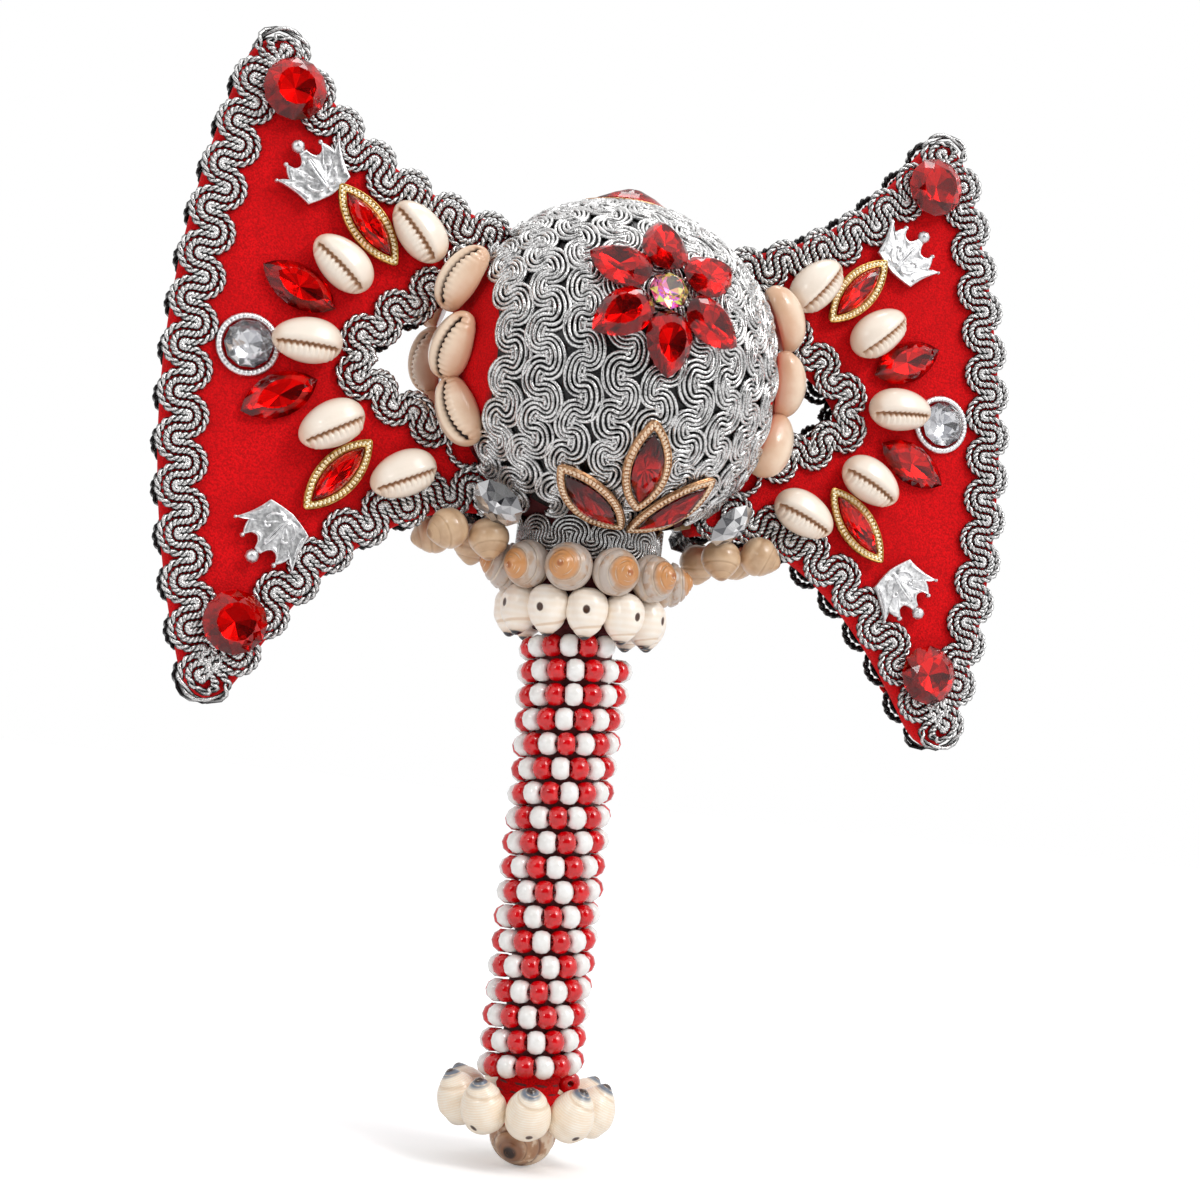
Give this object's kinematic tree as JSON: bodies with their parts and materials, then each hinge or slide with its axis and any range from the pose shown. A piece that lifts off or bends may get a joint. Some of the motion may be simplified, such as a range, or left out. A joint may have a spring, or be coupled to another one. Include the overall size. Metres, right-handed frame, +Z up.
{
  "type": "beaded maraca",
  "caption": "Shaken rattle: a braid-covered ball with loose seeds on a bead-wound handle, with a red axe blade on each side set with cowries, cut stones and charms.",
  "frame": {"origin": "middle of the beaded grip, on the handle's axis", "axes": "+Z up the handle to the ball, X across the two blades, the front faces -Y"},
  "size_m": [0.2412, 0.1056, 0.3032],
  "materials": {
    "stick_wood": "plain turned wood",
    "gourd_rind": "dry gourd rind",
    "seed": "dry seed",
    "blade_board": "stiff board",
    "red_cloth": "bright red fine-grained cloth",
    "silver_braid": "metallic silver gimp braid",
    "bead_thread": "waxed thread",
    "red_bead": "glossy opaque",
    "white_bead": "glossy opaque",
    "cream_shell": "natural shell, satin, dark tip",
    "brown_shell": "natural shell, polished",
    "pearly_shell": "natural shell with pearl lustre",
    "cream_cowrie": "natural shell, polished",
    "pink_cowrie": "natural shell, polished",
    "red_stone": "faceted, foil backed",
    "rainbow_stone": "faceted with an iridescent coat",
    "clear_stone": "faceted, foil backed",
    "gold_frame": "cast and glittered",
    "silver_charm": "stamped and polished"
  },
  "bodies": {
    "maraca": {"handle_stick": "stick_wood", "end_collar": "red_cloth", "bead_thread": "bead_thread", "red_beads": "red_bead", "white_beads": "white_bead", "end_ring_shells": "cream_shell", "end_cap_shell": "brown_shell", "neck_collar": "red_cloth", "neck_braid": "silver_braid", "turban_shells": "pearly_shell", "whelk_shells": "cream_shell", "root_snail_shells": "brown_shell", "gourd_shell": "gourd_rind", "ball_cloth": "red_cloth", "ball_braid_1": "silver_braid", "ball_braid_2": "silver_braid", "ball_braid_3": "silver_braid", "ball_braid_4": "silver_braid", "ball_braid_5": "silver_braid", "ball_braid_6": "silver_braid", "ball_braid_7": "silver_braid", "ball_braid_8": "silver_braid", "ball_braid_9": "silver_braid", "front_flower_petals": "red_stone", "back_flower_petals": "red_stone", "flower_centres": "rainbow_stone", "ball_gold_frames": "gold_frame", "ball_framed_stones": "red_stone", "oval_stones": "clear_stone", "left_side_cowries": "pink_cowrie", "right_side_cowries": "pink_cowrie", "left_blade_board": "blade_board", "left_blade_cloth": "red_cloth", "left_edge_braid": "silver_braid", "left_window_braid": "silver_braid", "left_blade_cowries": "cream_cowrie", "left_crowns": "silver_charm", "left_tip_stones": "red_stone", "left_large_stones": "red_stone", "left_gold_frames": "gold_frame", "left_framed_stones": "red_stone", "left_clear_stones": "clear_stone", "left_clear_rims": "silver_charm", "right_blade_board": "blade_board", "right_blade_cloth": "red_cloth", "right_edge_braid": "silver_braid", "right_window_braid": "silver_braid", "right_blade_cowries": "cream_cowrie", "right_crowns": "silver_charm", "right_tip_stones": "red_stone", "right_large_stones": "red_stone", "right_gold_frames": "gold_frame", "right_framed_stones": "red_stone", "right_clear_stones": "clear_stone", "right_clear_rims": "silver_charm"},
    "seeds_front": {"seeds_front": "seed"},
    "seeds_back": {"seeds_back": "seed"},
    "seeds_left": {"seeds_left": "seed"},
    "seeds_right": {"seeds_right": "seed"}
  },
  "joints": [
    {"name": "seeds_front_toss", "type": "slide", "parent": "maraca", "child": "seeds_front", "axis": [0, 0, 1], "range_m": [0, 0.06]},
    {"name": "seeds_back_toss", "type": "slide", "parent": "maraca", "child": "seeds_back", "axis": [0, 0, 1], "range_m": [0, 0.06]},
    {"name": "seeds_left_toss", "type": "slide", "parent": "maraca", "child": "seeds_left", "axis": [0, 0, 1], "range_m": [0, 0.06]},
    {"name": "seeds_right_toss", "type": "slide", "parent": "maraca", "child": "seeds_right", "axis": [0, 0, 1], "range_m": [0, 0.06]}
  ]
}
